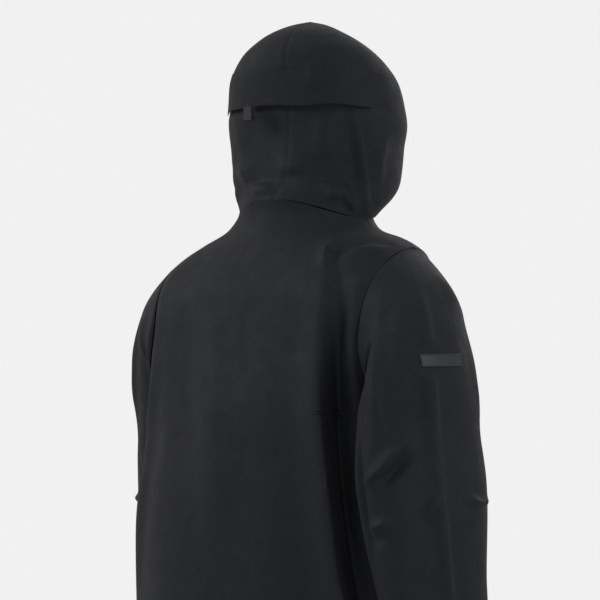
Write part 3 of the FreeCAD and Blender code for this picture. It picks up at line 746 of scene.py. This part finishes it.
def hood_point(side, turn, row):
    """Turn is 0 at the front and 180 degrees at the back, on the side given."""
    z, wide, deep, centre = (row[..., k] for k in range(4))
    back = -np.cos(turn)
    boxy = 1 + 0.05 * ease(z, 20, 110) * ease(250 - z, 0, 60) * np.sin(2 * turn) ** 2 * (back > 0)
    z = z + ease(-z, -60, 20) * (neck_seam(turn) + 20)
    return look(stack(side * wide * boxy * np.sin(turn), centre + deep * boxy * back, z))


def drape_hood(points, turn, mask, settings):
    """Folds a sheet of the hood; also its normals, and how far it tucks in under the flap."""
    normals = grid_normals(points, False, HOOD_MIDDLE)
    z = points[..., 2]
    mask = mask * ease(z - neck_seam(turn), 0, 14) * ease(280 - z, 4, 30)
    # the cloth lies flatter above the flap
    mask = mask * (1 - 0.5 * ease(z, 140, 170))
    points = drape(points, normals, mask, settings.fold, 1.0)
    z = points[..., 2]
    tuck = 2.0 * (ease(z, 132, 144) * ease(152 - z, 0, 6))
    return points, grid_normals(points, False, HOOD_MIDDLE), tuck


def hood_grid(side, rows, columns, settings):
    row = hood_level(np.linspace(0, 1, rows) ** 0.9)[:, None, :]
    gap = 0.1 / np.maximum(row[..., 1], 4)
    start = face_turn(row) + gap
    share = np.linspace(0, 1, columns)[None, :]
    turn = start + (np.pi - gap - start) * share
    points = hood_point(side, turn, row + 0 * turn[..., None])
    points, normals, tuck = drape_hood(points, turn, ease(share * columns, 0, 12), settings)
    dip = 0.9 * np.exp(-((1 - share) * 200 / 2.4) ** 2) + 0.9 * np.exp(-(share * 200 / 2.4) ** 2)
    reach = ease(share, 0.42, 0.55)
    return points - normals * (dip + tuck * reach)[..., None], normals


def build_flap(settings):
    """The loose fold across the back of the hood, sewn along its top edge."""
    rows, columns = 40, 150
    phi = np.linspace(-0.98, 1.02, columns)[None, :]
    share = np.linspace(0, 1, rows)[:, None]
    bottom = 148 - 10 * ease(phi, 0.5, 1.1) - 3 * ease(-phi, 0.4, 0.95) + 1.2 * np.sin(phi * 9)
    z = 200 + (bottom - 200) * share
    row = hermite(HOOD[:, 0], HOOD, z)
    points = hood_point(1, np.pi - phi + 0 * z, row)
    normals = grid_normals(points, False, HOOD_MIDDLE)
    points = drape(points, normals, 0.5 + 0 * z, settings.fold, 1.0)
    ends = ease(phi, -0.98, -0.72) * ease(1.02 - phi, 0, 0.3)
    lift = 0.5 + 5.5 * share ** 1.6 * (0.35 + 0.65 * ends) + 0.5
    points = points + normals * lift[..., None]
    piece = cloth_piece("hood_flap", points, normals, 0.9)
    finish_piece(piece, "shell", None, "hood_rear_flap")
    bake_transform(piece)
    path = points[-3, 2:-2]
    thread = stitches(path + normals[-3, 2:-2] * 0.1, normals[-3, 2:-2])
    add_piece("flap_stitching", [thread], "thread", "rear_flap")


def build_brim():
    """A curved, wire-edged peak under the top of the face opening."""
    rows, columns = 26, 96
    phi = np.linspace(-1.0, 1.0, columns)[None, :]
    share = np.linspace(0, 1, rows)[:, None]
    y = -121 + (-39 + 7 * (phi ** 4)) * share
    radius = 101.6 - 3.0 * share ** 2
    points = look(stack(radius * np.sin(phi) + 0 * y, y, FACE_Z + radius * np.cos(phi) + 0 * y))
    centre = look(np.array((0.0, -140.0, FACE_Z)))
    normals = grid_normals(points, False, centre)
    lip = 0.9 * ease(share, 0.86, 0.93) + 0 * phi
    shape = shell(points + normals * (lip + 0.8)[..., None], normals, 2.0)
    add_piece("hood_peak", [shape], "shell", "brim", "hood_brim")
    thread = stitches(points[-6] + normals[-6] * 0.95, normals[-6])
    add_piece("brim_stitching", [thread], "thread", "brim")


def build_seam_tape(settings):
    """Waterproof tape welded inside the centre seam of the hood, which also closes it."""
    row = hood_level(np.linspace(0.03, 0.985, 160) ** 0.9)[:, None, :]
    start = face_turn(row)
    wide = np.minimum(7 / np.maximum(row[..., 1], 7), (np.pi - start) * 0.9)
    phi = wide * np.linspace(-1, 1, 13)[None, :]
    points = hood_point(1, np.pi - phi, row + 0 * phi[..., None])
    points, normals, tuck = drape_hood(points, np.pi - phi, 1, settings)
    shape = shell(points - normals * (1.7 + tuck)[..., None], normals, 0.4)
    piece = add_piece("hood_seam_tape", [shape], "tape", None)
    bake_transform(piece)


def build_binding():
    """A folded tape inside the edge of the face opening."""
    parts = []
    for side in SIDES.values():
        row = hood_level(np.linspace(0.12, 0.93, 120))[:, None, :]
        start = face_turn(row) + 0.004
        turn = start + np.linspace(0, 0.1, 8)[None, :]
        points = hood_point(side, turn, row + 0 * turn[..., None])
        normals = grid_normals(points, False, HOOD_MIDDLE)
        parts.append(shell(points - normals * 1.8, normals, 0.9))
    piece = combine("face_binding", parts)
    finish_piece(piece, "trim", None, "hood_edge_binding")
    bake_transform(piece)


# ------------------------------------------------------------------- materials
def linear(text):
    """sRGB hex to linear RGBA."""
    parts = [int(text[k:k + 2], 16) / 255 for k in (0, 2, 4)]
    return tuple(c / 12.92 if c <= 0.04045 else ((c + 0.055) / 1.055) ** 2.4
                 for c in parts) + (1.0,)


MADE = {}


def node(tree, kind, settings=None, links=None):
    """Adds a node, sets its inputs or attributes, and links inputs from other sockets."""
    item = tree.nodes.new(kind)
    for key, value in (settings or {}).items():
        if isinstance(key, int) or key in item.inputs:
            item.inputs[key].default_value = value
        else:
            setattr(item, key, value)
    for key, socket in (links or {}).items():
        tree.links.new(socket, item.inputs[key])
    return item


def blank(name):
    made = bpy.data.materials.new(name)
    made.use_nodes = True
    tree = made.node_tree
    tree.nodes.clear()
    out = tree.nodes.new("ShaderNodeOutputMaterial")
    shader = tree.nodes.new("ShaderNodeBsdfPrincipled")
    tree.links.new(shader.outputs[0], out.inputs[0])
    return made, tree, shader


def woven(name, colour, thread, rough, sheen, crease=0.5):
    """Plain-weave nylon with a matte face: dull, with a faint grain and soft creases."""
    made, tree, shader = blank(name)
    place = node(tree, "ShaderNodeTexCoord")
    base = linear(colour)
    cloudy = node(tree, "ShaderNodeTexNoise", {"Scale": 9.0, "Detail": 5.0, "Roughness": 0.6},
                  {"Vector": place.outputs["Object"]})
    tint = node(tree, "ShaderNodeValToRGB", links={0: cloudy.outputs[0]})
    tint.color_ramp.elements[0].position = 0.3
    tint.color_ramp.elements[1].position = 0.72
    tint.color_ramp.elements[0].color = tuple(c * 0.88 for c in base[:3]) + (1,)
    tint.color_ramp.elements[1].color = tuple(c * 1.14 for c in base[:3]) + (1,)
    tree.links.new(tint.outputs[0], shader.inputs["Base Color"])
    rub = node(tree, "ShaderNodeTexNoise", {"Scale": 40.0, "Detail": 4.0},
               {"Vector": place.outputs["Object"]})
    gloss = node(tree, "ShaderNodeMapRange", {1: 0.3, 2: 0.7, 3: rough - 0.05, 4: rough + 0.06},
                 {0: rub.outputs[0]})
    tree.links.new(gloss.outputs[0], shader.inputs["Roughness"])
    shader.inputs["Sheen Weight"].default_value = sheen
    shader.inputs["Sheen Roughness"].default_value = 0.45
    shader.inputs["Specular IOR Level"].default_value = 0.35
    spread = node(tree, "ShaderNodeMapping", {"Scale": (1 / thread, 1 / thread, 1)},
                  {"Vector": place.outputs["UV"]})
    warp = node(tree, "ShaderNodeTexWave", {"Scale": 0.5, "Distortion": 0.6, "Detail": 1.0},
                {"Vector": spread.outputs[0]})
    weft = node(tree, "ShaderNodeTexWave",
                {"bands_direction": "Y", "Scale": 0.5, "Distortion": 0.6, "Detail": 1.0},
                {"Vector": spread.outputs[0]})
    weave = node(tree, "ShaderNodeMath", {"operation": "ADD"},
                 {0: warp.outputs["Fac"], 1: weft.outputs["Fac"]})
    creases = node(tree, "ShaderNodeTexNoise", {"Scale": 26.0, "Detail": 6.0, "Roughness": 0.62,
                                               "Distortion": 0.5},
                   {"Vector": place.outputs["Object"]})
    big = node(tree, "ShaderNodeBump", {"Strength": crease, "Distance": 0.0035},
               {"Height": creases.outputs[0]})
    small = node(tree, "ShaderNodeBump", {"Strength": 0.25, "Distance": thread * 0.3},
                 {"Height": weave.outputs[0], "Normal": big.outputs[0]})
    tree.links.new(small.outputs[0], shader.inputs["Normal"])
    return made


def moulded(name, colour, rough, metallic=0.0):
    """Moulded nylon or painted zinc: fine pebbling and rubbed, slightly lighter patches."""
    made, tree, shader = blank(name)
    place = node(tree, "ShaderNodeTexCoord")
    base = linear(colour)
    worn = node(tree, "ShaderNodeTexNoise", {"Scale": 160.0, "Detail": 5.0},
                {"Vector": place.outputs["Object"]})
    tint = node(tree, "ShaderNodeValToRGB", links={0: worn.outputs[0]})
    tint.color_ramp.elements[0].color = base
    tint.color_ramp.elements[1].color = tuple(min(1, c * 1.5) for c in base[:3]) + (1,)
    tree.links.new(tint.outputs[0], shader.inputs["Base Color"])
    shader.inputs["Metallic"].default_value = metallic
    grain = node(tree, "ShaderNodeTexNoise", {"Scale": 900.0, "Detail": 2.0},
                 {"Vector": place.outputs["Object"]})
    gloss = node(tree, "ShaderNodeMapRange", {1: 0.3, 2: 0.7, 3: rough - 0.06, 4: rough + 0.08},
                 {0: worn.outputs[0]})
    tree.links.new(gloss.outputs[0], shader.inputs["Roughness"])
    bump = node(tree, "ShaderNodeBump", {"Strength": 0.3, "Distance": 0.0002},
                {"Height": grain.outputs[0]})
    tree.links.new(bump.outputs[0], shader.inputs["Normal"])
    return made


def material(slot):
    """The finish of one slot, made the first time it is asked for."""
    if slot in MADE:
        return MADE[slot]
    colours = bpy.context.scene.jacket_colours
    makers = {
        # matte nylon laminate: dull face, soft light on the folds
        "shell": lambda: woven("matte_nylon_laminate", colours.shell, 0.0016, 0.62, 0.06),
        # tricot backing: greyer and duller than the face
        "lining": lambda: woven("tricot_backing", colours.lining, 0.0010, 0.8, 0.1, 0.3),
        "tape": lambda: woven("polyester_tape", "1F2022", 0.0009, 0.75, 0.05, 0.0),
        "trim": lambda: woven("woven_ribbon", "303134", 0.0008, 0.7, 0.1, 0.0),
        "hook_loop": lambda: woven("nylon_loop_pile", "1C1D1E", 0.0012, 0.9, 0.4, 0.6),
        "patch": lambda: moulded("moulded_silicone", "303235", 0.5),
        "tab": lambda: moulded("moulded_tpu", "26272A", 0.55),
        # sewing thread: slightly glossier than the cloth it lies on
        "thread": lambda: moulded("polyester_thread", "2A2B2E", 0.5),
        "zip_teeth": lambda: moulded("polyester_coil", "1B1C1E", 0.42),
        "zip_metal": lambda: moulded("painted_zinc", colours.metal, 0.34, 0.6),
        "lock_plastic": lambda: moulded("acetal_plastic", "202124", 0.45),
    }
    MADE[slot] = makers[slot]()
    return MADE[slot]


def finish_piece(piece, slot, body, *nodes):
    piece.data.materials.clear()
    piece.data.materials.append(material(slot))
    if slot == "shell":
        piece.data.materials.append(material("lining"))
    "shell" if slot == "thread" else slot
    if body:
        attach(piece, body)
    if nodes:
        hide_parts(*nodes)
    return piece


def add_piece(name, parts, slot, body, *nodes):
    return finish_piece(combine(name, parts), slot, body, *nodes)


# ------------------------------------------------------------------- operators
class JACKET_OT_torso(bpy.types.Operator):
    """Back and two front panels from hem to neck seam"""
    bl_idname = "jacket.torso"
    bl_label = "Torso panels"

    def execute(self, context):
        settings = context.scene.jacket_sizes
        back = torso_panel(
            "torso_back", lambda z: armhole_turn(z, 1) + 0.0006,
            lambda z: np.pi - armhole_turn(z, 1) - 0.0006, 224, 204, True, settings)
        finish_piece(back, "shell", "torso", "back_panel")
        zip_turn = lambda z: np.arccos(5.2 / hermite(TORSO[:, 0], TORSO[:, 1:], z)[..., 0])
        left = torso_panel("torso_front_left", lambda z: -armhole_turn(z, 0) - 0.0006,
                           lambda z: -zip_turn(z), 224, 104, False, settings)
        right = torso_panel("torso_front_right", lambda z: -np.pi + armhole_turn(z, 0) + 0.0006,
                            lambda z: -np.pi + zip_turn(z), 224, 104, False, settings)
        finish_piece(left, "shell", "torso", "front_panel_left")
        finish_piece(right, "shell", "torso", "front_panel_right")
        return {"FINISHED"}


class JACKET_OT_sleeves(bpy.types.Operator):
    """Both sleeves, each from the armhole seam to the cuff"""
    bl_idname = "jacket.sleeves"
    bl_label = "Sleeves"

    def execute(self, context):
        for name in SIDES:
            build_sleeve(name, context.scene.jacket_sizes)
        return {"FINISHED"}


class JACKET_OT_hood(bpy.types.Operator):
    """The two hood panels that meet along the centre seam"""
    bl_idname = "jacket.hood"
    bl_label = "Hood panels"

    def execute(self, context):
        settings = context.scene.jacket_sizes
        for name, side in SIDES.items():
            points, normals = hood_grid(side, 190, 120, settings)
            piece = cloth_piece(f"hood_{name}", points, normals, settings.cloth / MM)
            finish_piece(piece, "shell", None, f"hood_{name}_panel")
            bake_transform(piece)
        return {"FINISHED"}


class JACKET_OT_hood_trims(bpy.types.Operator):
    """Rear flap, peak and the tape inside the face opening"""
    bl_idname = "jacket.hood_trims"
    bl_label = "Hood trims"

    def execute(self, context):
        build_flap(context.scene.jacket_sizes)
        build_seam_tape(context.scene.jacket_sizes)
        build_brim()
        build_binding()
        return {"FINISHED"}


class JACKET_OT_facings(bpy.types.Operator):
    """Hem and neck facings, zip flap, chin guard, blank label, hanger loop, pocket bags"""
    bl_idname = "jacket.facings"
    bl_label = "Facings and pockets"

    def execute(self, context):
        front = -np.pi / 2
        hem, _, _ = torso_band((front + 0.06, front + 2 * np.pi - 0.06), at_level(-738.0),
                               at_level(-711.0), 1.6, 0.9, 8, 220)
        nape, _, _ = torso_band((0.76, np.pi - 0.76), at_level(-54.0),
                                lambda turn: neck_line(turn) - 1, 1.6, 0.9)
        flap, _, _ = torso_band((front - 0.09, front + 0.09), at_level(-700.0),
                                at_level(-35.0), 5.0, 1.0, 120, 10)
        guard, _, _ = torso_band((front - 0.2, front + 0.2), at_level(-34.0),
                                 lambda turn: neck_line(turn) - 1, 4.6, 1.0, 8, 16)
        label, _, _ = torso_band((np.pi / 2 - 0.2, np.pi / 2 + 0.2), at_level(-56.0),
                                 at_level(-32.0), 2.8, 0.5, 10, 16)
        for name, shape, slot, node_name in (
                ("hem_lining", hem, "lining", "hem_facing"),
                ("nape_lining", nape, "lining", "neck_facing"),
                ("zip_underflap", flap, "lining", "inner_zip_flap"),
                ("chin_guard_fleece", guard, "trim", "chin_guard"),
                ("blank_label", label, "trim", "neck_label")):
            add_piece(name, [shape], slot, "torso", node_name)
        for name, side in SIDES.items():
            turns = sorted(front + side * math.asin(x / 225) for x in (60, 178))
            bag, _, _ = torso_band(turns, at_level(-705.0), at_level(-490.0), 6.0, 0.8, 40, 30)
            add_piece(f"pocket_pouch_{name}", [bag], "lining", "torso", f"pocket_bag_{name}")
        sag = np.linspace(-1, 1, 40)
        path = stack(26 * sag, 76 - 2.5 * (1 - sag ** 2), -4 - 9 * (1 - np.abs(sag) ** 3))
        width = np.array((0, 0, 1.0))
        ribbon = np.stack([path + width * k for k in np.linspace(-2.5, 2.5, 6)])
        normals = grid_normals(ribbon, False, np.array((0, 0, -8)))
        finish_piece(cloth_piece("hanger_ribbon", ribbon, normals, 1.2), "trim", "torso",
                     "hanger_loop")
        turn = np.linspace(front + 0.05, front + 2 * np.pi - 0.05, 500)
        line = torso_point(turn, np.full_like(turn, -712.0))
        out = stack(line[:, 0] / 238 ** 2, (line[:, 1] - 55) / 151 ** 2, 0 * turn)
        thread = stitches(line + 0.15 * out / np.linalg.norm(out, axis=1, keepdims=True), out)
        add_piece("hem_stitching", [thread], "thread", "torso")
        return {"FINISHED"}


class JACKET_OT_fasteners(bpy.types.Operator):
    """Tapes and coils of the front and pocket slide fasteners"""
    bl_idname = "jacket.fasteners"
    bl_label = "Slide fasteners"

    def execute(self, context):
        pitch = context.scene.jacket_sizes.tooth / MM
        frame = front_frame()
        for name, side in SIDES.items():
            band = strip(frame, sorted((side * 0.5, side * 10)), 2.0, (-9, 717), 0.8, 240)
            add_piece(f"front_tape_{name}", [band], "tape", "torso", f"front_zip_tape_{name}")
            add_piece(f"front_coil_{name}", [coil(frame, side * 1.35, 712, pitch)],
                      "zip_teeth", "torso", f"front_zip_coil_{name}")
        for name in SIDES:
            frame = pocket_frame(name)
            bands = [strip(frame, sorted((side * 0.5, side * 9.5)), 2.0, (-5, 170), 0.8)
                     for side in (-1, 1)]
            add_piece(f"pocket_tape_{name}", bands, "tape", "torso", f"pocket_zip_tape_{name}")
            rows = [coil(frame, side * 1.35, POCKET_LONG, pitch) for side in (-1, 1)]
            add_piece(f"pocket_coil_{name}", rows, "zip_teeth", "torso",
                      f"pocket_zip_coil_{name}")
            lips = [strip(frame, sorted((side * 4.6, side * 13)), -0.9, (-8, 176), 1.5)
                    for side in (-1, 1)]
            lips += [strip(frame, (-13, 13), -0.7, ends, 1.4, 8, 12)
                     for ends in ((-15, -7), (175, 183))]
            add_piece(f"pocket_welt_{name}", lips, "shell", "torso")
        return {"FINISHED"}


class JACKET_OT_cuffs_and_badge(bpy.types.Operator):
    """Cuff facings, pads and tabs, and the blank badge on the right sleeve"""
    bl_idname = "jacket.cuffs_and_badge"
    bl_label = "Cuffs and badge"

    def execute(self, context):
        for name in SIDES:
            build_cuff(name)
        build_patch()
        return {"FINISHED"}


HARD_NODES = {
    "zip_metal": ("front_zip_slider", "front_zip_pull", "pocket_zip_slider_left",
                  "pocket_zip_slider_right", "pocket_zip_pull_left", "pocket_zip_pull_right"),
    "zip_teeth": ("front_zip_top_stops", "front_zip_bottom_box", "front_zip_insertion_pin"),
    "lock_plastic": ("hem_lock_housing_left", "hem_lock_housing_right", "hem_lock_button_left",
                     "hem_lock_button_right", "hood_lock_housing", "hood_lock_button")}


class JACKET_OT_hard_parts(bpy.types.Operator):
    """Finishes for the sliders, pulls, stops and cord locks of the frame"""
    bl_idname = "jacket.hard_parts"
    bl_label = "Sliders and cord locks"

    def execute(self, context):
        for slot, names in HARD_NODES.items():
            for name in names:
                slots = bpy.data.objects[name].data.materials
                slots.clear()
                slots.append(material(slot))
        return {"FINISHED"}


class JACKET_OT_stage(bpy.types.Operator):
    """Plain light backdrop, soft light and the camera"""
    bl_idname = "jacket.stage"
    bl_label = "Stage"

    def execute(self, context):
        scene = context.scene
        world = bpy.data.worlds.new("plain")
        scene.world = world
        world.use_nodes = True
        # the backdrop is seen at full strength but lights the cloth at less than half
        tree = world.node_tree
        shade = tree.nodes["Background"]
        shade.inputs[0].default_value = linear("F1F1F1")
        ray = node(tree, "ShaderNodeLightPath")
        strength = node(tree, "ShaderNodeMapRange", {3: 0.42, 4: 1.0},
                        {0: ray.outputs["Is Camera Ray"]})
        tree.links.new(strength.outputs[0], shade.inputs[1])
        for name, place, size, power in (("key", (2.4, 1.9, 1.6), 1.2, 24.0),
                                         ("side", (-3.0, 0.4, 0.9), 1.2, 13.0),
                                         ("front", (0.6, -3.0, 1.2), 2.2, 12.0)):
            lamp = bpy.data.lights.new(name, "AREA")
            lamp.size = size
            lamp.energy = power
            item = bpy.data.objects.new(name, lamp)
            bpy.context.collection.objects.link(item)
            item.location = place
            aim = np.array((0, 0, -0.2)) - np.array(place)
            item.rotation_euler = direction(aim)
        camera = bpy.data.cameras.new("camera")
        camera.lens = 144
        camera.sensor_width = 36
        item = bpy.data.objects.new("camera", camera)
        bpy.context.collection.objects.link(item)
        away = np.array((-math.sin(CAMERA_YAW), math.cos(CAMERA_YAW), 0))
        right = np.array((-math.cos(CAMERA_YAW), -math.sin(CAMERA_YAW), 0))
        target = right * CAMERA_SHIFT + np.array((0, 0, CAMERA_RISE))
        item.location = target + away * CAMERA_AWAY
        item.rotation_euler = direction(-away)
        scene.camera = item
        scene.render.resolution_x = 900
        scene.render.resolution_y = 900
        scene.view_settings.view_transform = "Standard"
        return {"FINISHED"}


def direction(aim):
    """Rotation that points a lamp's or camera's -Z along aim with +Y up."""
    aim = np.array(aim, float) / np.linalg.norm(aim)
    return (math.acos(-aim[2]), 0.0, math.atan2(aim[1], aim[0]) - math.pi / 2)


BUILD_ORDER = ("torso", "sleeves", "hood", "hood_trims", "facings", "fasteners",
               "cuffs_and_badge", "hard_parts", "stage")


class JACKET_PT_maker(bpy.types.Panel):
    """Sidebar panel with the settings and one button for each group of pieces"""
    bl_label = "Shell jacket"
    bl_space_type = "VIEW_3D"
    bl_region_type = "UI"
    bl_category = "Jacket"

    def draw(self, context):
        for settings in (context.scene.jacket_sizes, context.scene.jacket_colours):
            for name in settings.__annotations__:
                self.layout.prop(settings, name)
        for name in BUILD_ORDER:
            self.layout.operator(f"jacket.{name}")


CLASSES = [JacketSizes, JacketColours, JACKET_OT_torso, JACKET_OT_sleeves, JACKET_OT_hood,
           JACKET_OT_hood_trims, JACKET_OT_facings, JACKET_OT_fasteners,
           JACKET_OT_cuffs_and_badge, JACKET_OT_hard_parts, JACKET_OT_stage, JACKET_PT_maker]


def register():
    for item in CLASSES:
        bpy.utils.register_class(item)
    bpy.types.Scene.jacket_sizes = bpy.props.PointerProperty(type=JacketSizes)
    bpy.types.Scene.jacket_colours = bpy.props.PointerProperty(type=JacketColours)


def unregister():
    del bpy.types.Scene.jacket_sizes
    del bpy.types.Scene.jacket_colours
    for item in reversed(CLASSES):
        bpy.utils.unregister_class(item)


def main():
    register()
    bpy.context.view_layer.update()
    for name in BUILD_ORDER:
        getattr(bpy.ops.jacket, name)()


if __name__ == "__main__":
    main()
